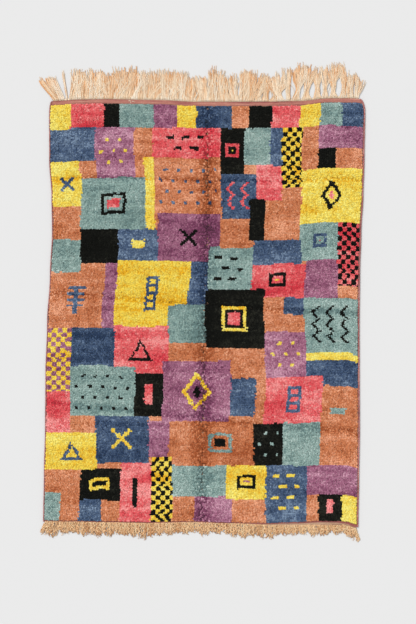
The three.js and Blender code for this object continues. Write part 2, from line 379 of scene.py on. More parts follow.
# The patchwork, in knots from the upper left corner, on a ground of the first dye. A mark is centred in
# its patch at its own size.
Patch = namedtuple(
    "Patch",
    "left top width height dye mark wide high mark_dye heart",
    defaults=(plain, 0, 0, "black", "coral"),
)
UPPER_ROW = (
    Patch(0, 0, 13, 15, "yellow"),
    Patch(13, 0, 21, 15, "coral"),
    Patch(34, 0, 10, 15, "black"),
    Patch(44, 0, 23, 15, "sage"),
    Patch(67, 0, 15, 15, "plum"),
    Patch(82, 0, 12, 15, "yellow"),
    Patch(94, 0, 21, 15, "blue"),
    Patch(126, 0, 15, 15, "black"),
    Patch(141, 0, 18, 15, "coral"),
    Patch(159, 0, 13, 15, "yellow"),
    Patch(172, 0, 14, 15, "sage"),
    Patch(186, 0, 14, 15, "blue"),
)
UPPER_THIRD = (
    Patch(0, 15, 29, 21, "blue"),
    Patch(29, 15, 25, 32, "plum", dots, 23, 28, "yellow"),
    Patch(66, 15, 43, 19, "coral", dashes, 24, 9, "black"),
    Patch(109, 15, 15, 30, "black", box, 9, 9, "coral", "yellow"),
    Patch(124, 15, 25, 24, "sage"),
    Patch(141, 15, 8, 24, "blue"),
    Patch(149, 15, 13, 38, "yellow", chequer, 13, 38, "black"),
    Patch(172, 15, 28, 14, "plum"),
    Patch(172, 29, 11, 13, "black"),
    Patch(0, 36, 18, 30, "yellow", cross, 9, 9, "blue"),
    Patch(18, 47, 42, 34, "sage", box, 16, 14, "black", "coral"),
    Patch(60, 34, 6, 47, "yellow"),
    Patch(66, 34, 43, 36, "terracotta", dots, 40, 32, "blue"),
    Patch(109, 45, 23, 28, "blue", zigzag, 16, 17, "coral"),
    Patch(132, 39, 17, 22, "coral"),
    Patch(162, 42, 38, 35, "yellow", lozenge, 14, 21, "black", "coral"),
    Patch(18, 81, 24, 22, "black"),
    Patch(42, 81, 26, 20, "blue", filled, 8, 5, "yellow"),
    Patch(68, 70, 40, 31, "plum", cross, 11, 11, "black"),
    Patch(127, 61, 11, 26, "black"),
    Patch(162, 77, 25, 24, "sage", box, 9, 9, "blue"),
    Patch(187, 77, 13, 40, "coral", chequer, 13, 40, "black"),
)
MIDDLE = (
    Patch(0, 88, 18, 21, "sage"),
    Patch(0, 109, 34, 36, "terracotta", comb, 11, 18, "blue"),
    Patch(34, 103, 8, 42, "plum"),
    Patch(42, 101, 48, 42, "yellow", ladder, 8, 22, "blue"),
    Patch(90, 101, 12, 29, "blue"),
    Patch(102, 91, 29, 28, "sage", dashes, 20, 16, "black"),
    Patch(131, 87, 31, 16, "blue"),
    Patch(131, 103, 34, 22, "coral", box, 11, 9, "black", "yellow"),
    Patch(165, 101, 22, 24, "plum"),
    Patch(102, 119, 38, 38, "black", box, 16, 16, "yellow", "coral"),
    Patch(153, 125, 13, 11, "blue"),
    Patch(166, 125, 34, 36, "sage", zigzag, 25, 25, "black"),
    Patch(0, 145, 15, 40, "plum", chequer, 15, 40, "yellow"),
    Patch(15, 145, 27, 24, "blue"),
    Patch(42, 143, 36, 30, "coral", peak, 17, 14, "black"),
    Patch(78, 130, 24, 24, "sage"),
    Patch(140, 147, 26, 29, "plum", dots, 22, 26, "yellow"),
    Patch(166, 161, 34, 22, "blue"),
    Patch(166, 161, 34, 5, "yellow"),
)
LOWER_THIRD = (
    Patch(15, 169, 41, 33, "sage", dots, 38, 30, "black"),
    Patch(56, 173, 18, 29, "black", filled, 5, 14, "coral"),
    Patch(74, 165, 44, 40, "plum", lozenge, 19, 26, "yellow", "black"),
    Patch(118, 176, 16, 25, "blue"),
    Patch(140, 176, 37, 30, "coral", ladder, 9, 17, "blue"),
    Patch(177, 183, 23, 33, "terracotta", filled, 10, 4, "sage"),
    Patch(0, 185, 15, 28, "coral"),
    Patch(0, 213, 32, 24, "yellow", peak, 15, 12, "blue"),
    Patch(32, 202, 34, 31, "blue", cross, 13, 13, "yellow"),
    Patch(66, 205, 13, 24, "plum"),
    Patch(92, 205, 42, 29, "terracotta", box, 15, 13, "sage", "black"),
    Patch(134, 206, 19, 28, "black", dots, 16, 25, "sage"),
    Patch(153, 206, 24, 28, "sage"),
    Patch(22, 237, 26, 20, "black", ladder, 13, 8, "yellow"),
    Patch(48, 233, 20, 37, "coral", filled, 3, 18, "black"),
    Patch(68, 229, 14, 41, "yellow", chequer, 14, 41, "black"),
    Patch(82, 234, 34, 20, "sage"),
    Patch(96, 254, 24, 16, "plum"),
    Patch(116, 234, 26, 22, "yellow", box, 12, 9, "black", "plum"),
    Patch(142, 234, 27, 36, "blue", dashes, 19, 23, "yellow"),
    Patch(169, 234, 31, 20, "plum"),
    Patch(176, 254, 14, 16, "black", filled, 4, 9, "coral"),
    Patch(190, 254, 10, 16, "yellow"),
    Patch(22, 257, 14, 13, "blue"),
    Patch(0, 252, 10, 18, "sage"),
)


# Sampling and drift


def smooth(share):
    t = np.clip(share, 0, 1)
    return t * t * (3 - 2 * t)


# A column of a table at some places, easing from each row to the next.
def read(rows, place, at, column):
    places = np.array([getattr(row, place) for row in rows], dtype=float)
    values = np.array([getattr(row, column) for row in rows], dtype=float)
    i = np.clip(np.searchsorted(places, at) - 1, 0, len(rows) - 2)
    share = smooth((np.asarray(at) - places[i]) / (places[i + 1] - places[i]))
    return values[i] + (values[i + 1] - values[i]) * share


# Soft random values at places (u, v), the sum of some drifts. Each has one random value to each cell.
def drift(u, v, drifts):
    total = 0
    for part in drifts:
        a, b = np.asarray(u) / part.across, np.asarray(v) / part.down
        i, j = np.floor(a).astype(int), np.floor(b).astype(int)
        low_i, low_j = i.min(), j.min()
        size = (i.max() - low_i + 2, j.max() - low_j + 2)
        values = np.random.default_rng(part.seed).uniform(-1, 1, size)
        s, t = smooth(a - i), smooth(b - j)
        i, j = i - low_i, j - low_j
        near = values[i, j] * (1 - s) + values[i + 1, j] * s
        far = values[i, j + 1] * (1 - s) + values[i + 1, j + 1] * s
        total = total + part.amount * (near * (1 - t) + far * t)
    return total


# The rug as it lies


# Where points of the square rug lie once it has wandered out of square, still in its own middle.
def wandered(x, y):
    across_share = np.clip(x / FIELD["width"] + 0.5, 0, 1)
    up_share = np.clip(y / FIELD["length"] + 0.5, 0, 1)
    left = read(SIDES, "up", y + HALF_LENGTH, "left")
    right = read(SIDES, "up", y + HALF_LENGTH, "right")
    bottom = read(ENDS, "across", x, "bottom")
    top = read(ENDS, "across", x, "top")
    side = left + (right - left) * across_share
    end = bottom + (top - bottom) * up_share
    return x + side, y + end


# How far the rounded upper corners move points of the square rug inwards.
def drawn_in(x, y):
    up = np.clip((y - HALF_LENGTH - BAND["top"]) / CORNER["height"] + 1, 0, 1)
    near_left = np.clip(1 - (x + HALF_WIDTH) / CORNER["follow"], 0, 1)
    near_right = np.clip(1 - (HALF_WIDTH - x) / CORNER["follow"], 0, 1)
    return (CORNER["left"] * near_left - CORNER["right"] * near_right) * (1 - np.sqrt(1 - up**2))


# The rug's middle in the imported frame, from where its pile field is there.
def rug_shift(points=400):
    edge = np.linspace(-0.5, 0.5, points)
    half = np.full_like(edge, 0.5)
    x = np.concatenate([edge, edge, half, -half]) * FIELD["width"]
    y = np.concatenate([half, -half, edge, edge]) * FIELD["length"]
    x, y = wandered(x, y)
    low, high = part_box("pile_field")
    return (
        (low[0] + high[0]) / 2 / MM - (x.min() + x.max()) / 2,
        (low[1] + high[1]) / 2 / MM - (y.min() + y.max()) / 2,
    )


SHIFT = rug_shift()


# Points of the square rug, in millimetres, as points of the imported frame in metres.
def laid(x, y, z):
    x, y, z = np.broadcast_arrays(x, y, z)
    x, y = wandered(x + drawn_in(x, y), y)
    return np.stack([x + SHIFT[0], y + SHIFT[1], z], axis=-1) * MM


def fold_line(fold, x):
    return fold.left + (fold.right - fold.left) * (x / FIELD["width"] + 0.5) - HALF_LENGTH


def trough(distance, half):
    return 1 - smooth(abs(distance) / half)


# The height of the pile's top over points of the square field.
def pile_top(x, y):
    inward = np.minimum(HALF_WIDTH - abs(x), HALF_LENGTH - abs(y))
    swell = np.sin(x / SWELL["across"] * np.pi) * np.cos(y / SWELL["along"] * np.pi)
    height = FIELD["thickness"] + swell * SWELL["height"]
    height = height - read(SHOULDER, "inward", inward, "drop")
    for fold in CROSS_FOLDS:
        height = height - fold.depth * trough(y - fold_line(fold, x), fold.half)
    return height - LONG_FOLD["depth"] * trough(x - LONG_FOLD["across"], LONG_FOLD["half"])


# Modelling helpers


def name_active(name):
    made = bpy.context.active_object
    made.name = name
    made.data.name = name
    return made


def get_points(piece):
    points = np.empty(len(piece.data.vertices) * 3)
    piece.data.vertices.foreach_get("co", points)
    return points.reshape(-1, 3)


def set_points(piece, points):
    piece.data.vertices.foreach_set("co", np.ascontiguousarray(points, dtype=np.float32).ravel())
    piece.data.update()


def add_grid(name, columns, rows):
    bpy.ops.object.select_all(action="DESELECT")
    bpy.ops.mesh.primitive_grid_add(x_subdivisions=columns, y_subdivisions=rows, size=1)
    return name_active(name)


# A tube along Y from 0 to 1, of radius 1, with closed ends. It is rolled up from a flat grid.
def add_tube(name, steps, sides, merged=0.0001):
    tube = add_grid(name, sides, steps)
    flat = get_points(tube)
    turn = (flat[:, 0] + 0.5) * 2 * np.pi
    set_points(tube, np.stack([np.cos(turn), flat[:, 1] + 0.5, np.sin(turn)], axis=-1))
    bpy.ops.object.mode_set(mode="EDIT")
    bpy.ops.mesh.select_mode(type="VERT")
    bpy.ops.mesh.select_all(action="SELECT")
    bpy.ops.mesh.remove_doubles(threshold=merged)
    bpy.ops.mesh.select_all(action="DESELECT")
    bpy.ops.mesh.select_non_manifold()
    bpy.ops.mesh.fill_holes(sides=sides)
    bpy.ops.mesh.select_all(action="SELECT")
    bpy.ops.mesh.normals_make_consistent(inside=False)
    bpy.ops.object.mode_set(mode="OBJECT")
    return tube


# A spindle up Z from 0 to 1: a point, a ring of radius 1 at the shoulder, and a point. It is a cone whose
# base is drawn down to a point too.
def add_spindle(name, sides, shoulder, downward=-0.9):
    bpy.ops.object.select_all(action="DESELECT")
    bpy.ops.mesh.primitive_cone_add(
        vertices=sides,
        radius1=1,
        radius2=0,
        depth=1 - shoulder,
        location=(0, 0, (1 + shoulder) / 2),
        end_fill_type="NGON",
    )
    spindle = name_active(name)
    bpy.ops.object.transform_apply(location=True, rotation=True, scale=True)
    bpy.ops.object.mode_set(mode="EDIT")
    bpy.ops.mesh.select_mode(type="FACE")
    bpy.ops.mesh.select_all(action="DESELECT")
    bpy.ops.object.mode_set(mode="OBJECT")
    for face in spindle.data.polygons:
        face.select = face.normal.z < downward
    bpy.ops.object.mode_set(mode="EDIT")
    bpy.ops.mesh.poke(offset=shoulder)
    bpy.ops.object.mode_set(mode="OBJECT")
    return spindle


def thicken(piece, depth):
    shell = piece.modifiers.new("thickness", "SOLIDIFY")
    shell.thickness = depth * MM
    shell.offset = -1
    bpy.context.view_layer.objects.active = piece
    bpy.ops.object.modifier_apply(modifier=shell.name)


def add_values(mesh, **layers):
    for name, values in layers.items():
        layer = mesh.attributes.new(name, "FLOAT", "POINT")
        layer.data.foreach_set("value", np.ascontiguousarray(values, dtype=np.float32).ravel())


def add_even_values(mesh, tone, rise):
    count = len(mesh.vertices)
    add_values(mesh, tone=np.full(count, tone), rise=np.full(count, rise))


def add_bake_map(mesh, across, up):
    corners = np.empty(len(mesh.loops), dtype=np.int32)
    mesh.loops.foreach_get("vertex_index", corners)
    places = np.stack([across.ravel()[corners], up.ravel()[corners]], axis=-1)
    layer = mesh.uv_layers.new(name="OFBake")
    layer.uv.foreach_set("vector", np.ascontiguousarray(places, dtype=np.float32).ravel())


# Copies of a model: where the points of each copy go, and how pale and how high up the yarn is there. How
# high up sets how much painted shade darkens it.
Copies = namedtuple("Copies", "model points tone rise")


# One mesh of all the copies, each with its own points.
def join_copies(name, *groups):
    points, corners, starts, tones, rises = [], [], [], [], []
    point_count = corner_count = 0
    for group in groups:
        count, each = group.points.shape[:2]
        source = group.model.data
        source_corners = np.empty(len(source.loops), dtype=np.int32)
        source_starts = np.empty(len(source.polygons), dtype=np.int32)
        source.loops.foreach_get("vertex_index", source_corners)
        source.polygons.foreach_get("loop_start", source_starts)
        copy = np.arange(count, dtype=np.int32)[:, None]
        corners.append((point_count + source_corners + each * copy).ravel())
        starts.append((corner_count + source_starts + len(source_corners) * copy).ravel())
        points.append(group.points.reshape(-1, 3))
        tones.append(np.broadcast_to(group.tone, (count, each)).ravel())
        rises.append(np.broadcast_to(group.rise, (count, each)).ravel())
        point_count += count * each
        corner_count += count * len(source_corners)
    mesh = bpy.data.meshes.new(name)
    mesh.vertices.add(point_count)
    mesh.vertices.foreach_set("co", np.concatenate(points).astype(np.float32).ravel())
    mesh.loops.add(corner_count)
    mesh.loops.foreach_set("vertex_index", np.concatenate(corners).astype(np.int32))
    starts = np.concatenate(starts).astype(np.int32)
    mesh.polygons.add(len(starts))
    mesh.polygons.foreach_set("loop_start", starts)
    mesh.update(calc_edges=True)
    add_values(mesh, tone=np.concatenate(tones), rise=np.concatenate(rises))
    piece = bpy.data.objects.new(name, mesh)
    bpy.context.collection.objects.link(piece)
    return piece


def discard(*models):
    for model in models:
        bpy.data.objects.remove(model, do_unlink=True)


# Wool and warp materials


# A yarn has a deep, a body and a pale colour, so many fibres to a metre, a share of shadow low down, and a
# sheen. The pile's wools are the dyes', all alike but for their colours.
Yarn = namedtuple("Yarn", "name deep body pale fibres shadow sheen", defaults=(900, 0.4, 0.2))
WOOLS = tuple(Yarn(f"{dye.name}_wool", dye.deep, dye.body, dye.pale) for dye in DYES)
OTHER_YARNS = (
    Yarn("ground_weave", (115, 84, 67), (153, 117, 94), (182, 149, 124), 500),
    Yarn("rose_flatweave", (140, 80, 77), (176, 119, 105), (203, 154, 136), 700),
    Yarn("mauve_overcast", (119, 63, 61), (165, 103, 100), (196, 142, 134), 700),
    Yarn("cream_warp", (217, 160, 108), (230, 205, 174), (236, 222, 202), 1100, 0.25, 0.4),
    Yarn("sand_warp", (195, 140, 94), (228, 186, 142), (237, 207, 165), 1100, 0.35, 0.3),
)

# How far the tone wanders in patches and from fibre to fibre, where it turns from the deep colour to the
# body colour and on to the pale one, how painted shade darkens it in a crease and low down, and how rough
# fibres are.
WANDER = dict(patches=9, by_patch=0.6, by_fibre=0.3, middle=-0.45)
TO_BODY = (0.05, 0.5)
TO_PALE = (0.5, 0.98)
DEEP_CREASE_SHADE = dict(deepest=-1.1, left=0.3)
SHADED_BELOW = 0.85
ROUGHENED = (0.25, 0.75)
WOOL = dict(smoothest=0.82, roughest=0.98, gloss=0.15, sheen_roughness=0.6, bump=0.5, bump_height=0.0006)


def linear(colour):
    srgb = np.array(colour) / 255
    low, high = srgb / 12.92, ((srgb + 0.055) / 1.055) ** 2.4
    return (*np.where(srgb <= 0.04045, low, high), 1.0)


# The look of dyed yarn: its tone wanders, painted shade darkens it down between the tufts and in creases,
# and fibres roughen it.
def make_yarn_look():
    group = bpy.data.node_groups.new("yarn_look", "ShaderNodeTree")
    for name in ("Deep", "Body", "Pale"):
        group.interface.new_socket(name, in_out="INPUT", socket_type="NodeSocketColor")
    for name in ("Patch Scale", "Fibre Scale", "Shadow"):
        group.interface.new_socket(name, in_out="INPUT", socket_type="NodeSocketFloat")
    group.interface.new_socket("Colour", in_out="OUTPUT", socket_type="NodeSocketColor")
    group.interface.new_socket("Roughness", in_out="OUTPUT", socket_type="NodeSocketFloat")
    group.interface.new_socket("Height", in_out="OUTPUT", socket_type="NodeSocketFloat")
    nodes, link = group.nodes, group.links.new
    given = nodes.new("NodeGroupInput").outputs
    result = nodes.new("NodeGroupOutput").inputs
    place = nodes.new("ShaderNodeTexCoord").outputs["Object"]

    def attribute(name):
        made = nodes.new("ShaderNodeAttribute")
        made.attribute_name = name
        return made.outputs["Fac"]

    def noise(scale_socket, detail, roughness):
        made = nodes.new("ShaderNodeTexNoise")
        made.inputs["Detail"].default_value = detail
        made.inputs["Roughness"].default_value = roughness
        link(place, made.inputs["Vector"])
        link(scale_socket, made.inputs["Scale"])
        return made.outputs["Fac"]

    def calculate(operation, *values):
        made = nodes.new("ShaderNodeMath")
        made.operation = operation
        for socket, value in zip(made.inputs, values):
            if isinstance(value, (int, float)):
                socket.default_value = value
            else:
                link(value, socket)
        return made.outputs["Value"]

    def spread(value, low, high, to_low=0, to_high=1):
        made = nodes.new("ShaderNodeMapRange")
        made.interpolation_type = "SMOOTHSTEP"
        made.inputs["From Min"].default_value = low
        made.inputs["From Max"].default_value = high
        made.inputs["To Min"].default_value = to_low
        made.inputs["To Max"].default_value = to_high
        link(value, made.inputs["Value"])
        return made.outputs["Result"]

    def mix(factor, a, b):
        made = nodes.new("ShaderNodeMix")
        made.data_type = "RGBA"
        link(factor, made.inputs["Factor"])
        link(a, made.inputs["A"])
        link(b, made.inputs["B"])
        return made.outputs["Result"]

    def dim(colour, share):
        made = nodes.new("ShaderNodeVectorMath")
        made.operation = "SCALE"
        made.inputs["Scale"].default_value = share
        link(colour, made.inputs[0])
        return made.outputs["Vector"]

    patches = noise(given["Patch Scale"], detail=3, roughness=0.6)
    fibres = noise(given["Fibre Scale"], detail=2, roughness=0.7)
    fibre_wander = calculate("MULTIPLY_ADD", fibres, WANDER["by_fibre"], WANDER["middle"])
    wander = calculate("MULTIPLY_ADD", patches, WANDER["by_patch"], fibre_wander)
    level = calculate("ADD", attribute("tone"), wander)
    colour = mix(spread(level, *TO_BODY), given["Deep"], given["Body"])
    colour = mix(spread(level, *TO_PALE), colour, given["Pale"])
    # Painted shade: low down, the colour turns towards the deep one.
    low_down = spread(attribute("rise"), 0, SHADED_BELOW, to_low=1, to_high=0)
    colour = mix(calculate("MULTIPLY", low_down, given["Shadow"]), colour, given["Deep"])
    # Painted shade in a crease, down past the deep colour.
    crease_shade_mix = spread(level, DEEP_CREASE_SHADE["deepest"], 0, to_low=1, to_high=0)
    link(mix(crease_shade_mix, colour, dim(given["Deep"], DEEP_CREASE_SHADE["left"])), result["Colour"])
    rough = spread(fibres, *ROUGHENED, WOOL["smoothest"], WOOL["roughest"])
    link(rough, result["Roughness"])
    link(fibres, result["Height"])
    return group


YARN_LOOK = make_yarn_look()


def make_material(yarn):
    material = bpy.data.materials.new(yarn.name)
    material.use_nodes = True
    nodes, link = material.node_tree.nodes, material.node_tree.links.new
    shader = nodes["Principled BSDF"]
    look = nodes.new("ShaderNodeGroup")
    look.node_tree = YARN_LOOK
    look.inputs["Deep"].default_value = linear(yarn.deep)
    look.inputs["Body"].default_value = linear(yarn.body)
    look.inputs["Pale"].default_value = linear(yarn.pale)
    look.inputs["Patch Scale"].default_value = WANDER["patches"]
    look.inputs["Fibre Scale"].default_value = yarn.fibres
    look.inputs["Shadow"].default_value = yarn.shadow
    bump = nodes.new("ShaderNodeBump")
    bump.inputs["Strength"].default_value = WOOL["bump"]
    bump.inputs["Distance"].default_value = WOOL["bump_height"]
    link(look.outputs["Colour"], shader.inputs["Base Color"])
    link(look.outputs["Roughness"], shader.inputs["Roughness"])
    link(look.outputs["Height"], bump.inputs["Height"])
    link(bump.outputs["Normal"], shader.inputs["Normal"])
    shader.inputs["Specular IOR Level"].default_value = WOOL["gloss"]
    shader.inputs["Sheen Weight"].default_value = yarn.sheen
    shader.inputs["Sheen Roughness"].default_value = WOOL["sheen_roughness"]
    shader.inputs["Sheen Tint"].default_value = linear(yarn.pale)
    return material


MATERIALS = {yarn.name: make_material(yarn) for yarn in WOOLS + OTHER_YARNS}


# A finished piece is made of the material that its slot is named for.
def finish_piece(piece, slot, *nodes):
    piece.data.materials.clear()
    piece.data.materials.append(MATERIALS[slot])
    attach(piece, "root")
    if nodes:
        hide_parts(*nodes)
    return piece


# The pile


# The dye of every knot of the chart, and which patch or mark it belongs to.
def draw_chart():
    names = [dye.name for dye in DYES]
    chart = np.zeros((KNOTS["along"], KNOTS["across"]), dtype=int)
    patches = np.zeros_like(chart)
    for number, patch in enumerate(UPPER_ROW + UPPER_THIRD + MIDDLE + LOWER_THIRD, 1):
        here = np.s_[patch.top : patch.top + patch.height, patch.left : patch.left + patch.width]
        chart[here], patches[here] = names.index(patch.dye), number
        top = patch.top + (patch.height - patch.high) // 2
        left = patch.left + (patch.width - patch.wide) // 2
        middle = chart[top : top + patch.high, left : left + patch.wide]
        v, u = np.mgrid[0 : patch.high, 0 : patch.wide]
        mark = patch.mark(u, v, patch.wide, patch.high)
        middle[mark == 1] = names.index(patch.mark_dye)
        middle[mark == 2] = names.index(patch.heart)
    return chart, patches


# The chart as it was knotted: the edges of its patches wander and step a little from row to row, and
# the dye of each patch is uneven, paler and deeper in streaks along the rows.
def knot_chart():
    chart, patches = draw_chart()
    down, across = np.mgrid[0 : KNOTS["along"], 0 : KNOTS["across"]]
    from_x = np.rint(across + drift(across, down, PATCH_EDGES_ACROSS)).astype(int)
    from_y = np.rint(down + drift(across, down, PATCH_EDGES_DOWN)).astype(int)
    from_x = np.clip(from_x, 0, KNOTS["across"] - 1)
    from_y = np.clip(from_y, 0, KNOTS["along"] - 1)
    chart, patches = chart[from_y, from_x], patches[from_y, from_x]
    rng = np.random.default_rng(TONE["seed"])
    own = rng.uniform(-1, 1, patches.max() + 1)[patches]
    uneven = np.array([dye.uneven for dye in DYES])[chart]
    tone = TONE["middle"] + TONE["patch"] * own + uneven * drift(across, down, STREAKS)
    tone = tone + drift(across, down, MOTTLE) + TONE["knot"] * rng.normal(0, 1, chart.shape)
    return chart, tone


# How deep in a crease each place is, from 0 to 1.
def in_crease(x, y):
    from_fold = abs(x - LONG_FOLD["across"])
    deep = np.clip(1 - from_fold / CREASE["half"], 0, 1) ** CREASE["fade"]
    for fold in CROSS_FOLDS:
        crossing = trough(y - fold_line(fold, x), fold.half * CROSS_CREASE["width"])
        deep = np.maximum(deep, CROSS_CREASE["share"] * crossing)
    return deep


# How far the tufts of a fold lean away from its line.
def parted(from_fold):
    return CREASE["parted"] * np.sign(from_fold) * trough(from_fold, CREASE["parted_half"])


# The tips of the tufts lean down the rug, in clumps, and apart from each other along the folds.
def pile_lean(x, y, across, down, rng):
    own = rng.normal(0, LEAN["own"], (2, *x.shape))
    lean_x = drift(across, down, CLUMPS_ACROSS) + own[0]
    lean_y = drift(across, down, CLUMPS_DOWN) + own[1] - LEAN["down"]
    lean_x = lean_x + parted(x - LONG_FOLD["across"])
    for fold in CROSS_FOLDS:
        lean_y = lean_y + CROSS_CREASE["share"] * parted(y - fold_line(fold, x))
    return lean_x, lean_y


# Which knots have one of another dye beside them.
def beside_another(chart):
    around = np.pad(chart, 1, mode="edge")
    same_row = (around[1:-1, 2:] == chart) & (around[1:-1, :-2] == chart)
    return ~(same_row & (around[2:, 1:-1] == chart) & (around[:-2, 1:-1] == chart))


# Where a place on the chart lies on the square rug.
def chart_place(across, down):
    x = (across / KNOTS["across"] - 0.5) * (FIELD["width"] - 2 * KNOTS["inset"])
    y = (0.5 - down / KNOTS["along"]) * (FIELD["length"] - 2 * KNOTS["inset"])
    return x, y


# How each tuft lies: its foot, top, lean, turn, size and tone, and the turn, reach and tone of the loose
# end that some have.
Tufts = namedtuple("Tufts", "x y height lean_x lean_y turn radius tone end_turn end_reach end_tone")


# How the tufts of all the knots lie, and which have a loose end.
def lay_tufts(chart, tone):
    rng = np.random.default_rng(KNOTS["seed"])
    shape = chart.shape
    down, across = np.mgrid[0 : KNOTS["along"], 0 : KNOTS["across"]]
    x, y = chart_place(across + 0.5, down + 0.5)
    creased = in_crease(x, y) * (CREASE["steady"] + drift(x, y, CREASE_DEPTHS))
    tone = np.clip(tone, TONE["least"], TONE["most"])
    # Painted shade in the creases: tufts there are given a deeper tone.
    crease_shade_share = rng.uniform(0, 1, shape) ** CREASED_TUFT["painted_shade_power"]
    tone = tone - creased * CREASED_TUFT["painted_shade"] * crease_shade_share
    uneven = rng.uniform(TUFT_HEIGHT["shorter"], TUFT_HEIGHT["longer"], shape) * TUFT_HEIGHT["uneven"]
    height = pile_top(x, y) + uneven
    sunk = rng.uniform(0, 1, shape) ** CREASED_TUFT["sunk_power"]
    height = height - creased * sunk * CREASED_TUFT["sunk"]
    height = height + drift(across, down, TUFT_HEIGHTS)
    lean_x, lean_y = pile_lean(x, y, across, down, rng)
    x = x + rng.uniform(-1, 1, shape) * TUFT["jitter"] + (down % 2 - 0.5) * TUFT["stagger"]
    y = y + rng.uniform(-1, 1, shape) * TUFT["jitter"]
    turn = rng.uniform(0, np.pi / 2, shape)
    radius = rng.uniform(*TUFT["sizes"], shape) * TUFT["radius"]

    loose = rng.random(shape) < LOOSE_END["share"]
    end_turn = drift(across, down, LOOSE_END_TURNS) + rng.normal(-np.pi / 2, LOOSE_END_TURN, shape)
    end_reach = rng.uniform(LOOSE_END["least"], LOOSE_END["most"], shape)
    end_reach = end_reach * np.where(beside_another(chart), LOOSE_END["at_edge"], 1)
    # Some loose ends are pale flecks, painted highlights where fibre tips catch the light.
    tip_highlight = END_TONE["tip_highlight"] * (rng.random(shape) < END_TONE["tip_highlighted"])
    end_tone = tone + tip_highlight + rng.normal(END_TONE["paler"], END_TONE["uneven"], shape)
    end_tone = np.clip(end_tone, 0, 1)
    tufts = Tufts(x, y, height, lean_x, lean_y, turn, radius, tone, end_turn, end_reach, end_tone)
    return tufts, loose


# The chosen tufts, each value as a column.
def choose(tufts, chosen):
    return Tufts(*(values[chosen][:, None] for values in tufts))


def place_tufts(model, tufts, full):
    model_x, model_y, model_z = get_points(model).T
    bow = model_z ** TUFT["bow"]
    cos, sin = np.cos(tufts.turn) * tufts.radius * full, np.sin(tufts.turn) * tufts.radius * full
    points = laid(
        tufts.x + model_x * cos - model_y * sin + bow * tufts.lean_x,
        tufts.y + model_x * sin + model_y * cos + bow * tufts.lean_y,
        TUFT["foot"] + model_z * (tufts.height - TUFT["foot"]),
    )
    return Copies(model, points, tufts.tone, model_z)


def place_loose_ends(model, tufts):
    model_x, model_y, model_z = get_points(model).T
    cos, sin = np.cos(tufts.end_turn), np.sin(tufts.end_turn)
    along, aside = model_z * tufts.end_reach, model_x * LOOSE_END["radius"]
    thickness = model_y * LOOSE_END["radius"] * LOOSE_END["flattened"]
    points = laid(
        tufts.x + tufts.lean_x + along * cos - aside * sin,
        tufts.y + tufts.lean_y + along * sin + aside * cos,
        tufts.height + np.interp(model_z, *LOOSE_END_ARCH) + thickness,
    )
    return Copies(model, points, tufts.end_tone, np.ones_like(model_z))


# Runs of knots of one dye along each row, as they show on the back of the rug.
def knot_runs(chart, dye):
    runs = []
    for row, line in enumerate(chart == dye):
        edges = np.flatnonzero(np.diff(np.concatenate([[False], line, [False]]).astype(int)))
        for start, stop in zip(edges[::2], edges[1::2]):
            parts = math.ceil((stop - start) / KNOT_BACK["longest"])
            cuts = np.linspace(start, stop, parts + 1)
            runs += [(row, cuts[i], cuts[i + 1]) for i in range(parts)]
    return np.array(runs)


def place_knot_backs(model, runs):
    model_x, model_y, model_z = get_points(model).T
    row, start, stop = (column[:, None] for column in runs.T)
    middle, run = (start + stop) / 2, stop - start
    x, y = chart_place(middle + run * model_x, row + 0.5 + KNOT_BACK["row"] * model_y)
    z = KNOT_BACK["low"] + (model_z + 0.5) * (KNOT_BACK["high"] - KNOT_BACK["low"])
    return Copies(model, laid(x, y, z), KNOT_BACK["tone"], KNOT_BACK["rise"])


# The pile's bake map is the rug seen from above, with a margin for the tufts that lean over its edge.
def add_pile_map(piece):
    x, y, _ = get_points(piece).T / MM
    across = (x - SHIFT[0] + HALF_WIDTH + BAKE_MARGIN) / (FIELD["width"] + 2 * BAKE_MARGIN)
    up = (y - SHIFT[1] + HALF_LENGTH + BAKE_MARGIN) / (FIELD["length"] + 2 * BAKE_MARGIN)
    add_bake_map(piece.data, across, up)


# One piece of pile to each dye: the tufts of its knots, their loose ends, and the backs of the knots.
def make_pile():
    chart, tone = knot_chart()
    tufts, loose = lay_tufts(chart, tone)
    tuft = add_spindle("tuft_model", 4, TUFT["shoulder"])
    end = add_spindle("loose_end_model", 3, LOOSE_END["shoulder"])
    bpy.ops.object.select_all(action="DESELECT")
    bpy.ops.mesh.primitive_cube_add(size=1)
    back = name_active("knot_back_model")
    pieces = []
    for number, dye in enumerate(DYES):
        knots = chart == number
        piece = join_copies(
            f"pile_{dye.name}",
            place_tufts(tuft, choose(tufts, knots), dye.full),
            place_loose_ends(end, choose(tufts, knots & loose)),
            place_knot_backs(back, knot_runs(chart, number)),
        )
        add_pile_map(piece)
        pieces.append(finish_piece(piece, f"{dye.name}_wool"))
    discard(tuft, end, back)
    return pieces


# The woven ground under the pile, a thin flat cloth that the knots are tied through.
def make_ground():
    ground = add_grid("ground_weave", GROUND["columns"], GROUND["rows"])
    flat = get_points(ground)
    x = flat[:, 0] * (FIELD["width"] - GROUND["inset"])
    y = flat[:, 1] * (FIELD["length"] - GROUND["inset"])
    set_points(ground, laid(x, y, GROUND["top"]))
    thicken(ground, GROUND["depth"])
    # The ground lies under the pile, and painted shade darkens it a little.
    add_even_values(ground.data, GROUND["tone"], GROUND["rise"])
    return finish_piece(ground, "ground_weave", "pile_field")


# Edges and ends


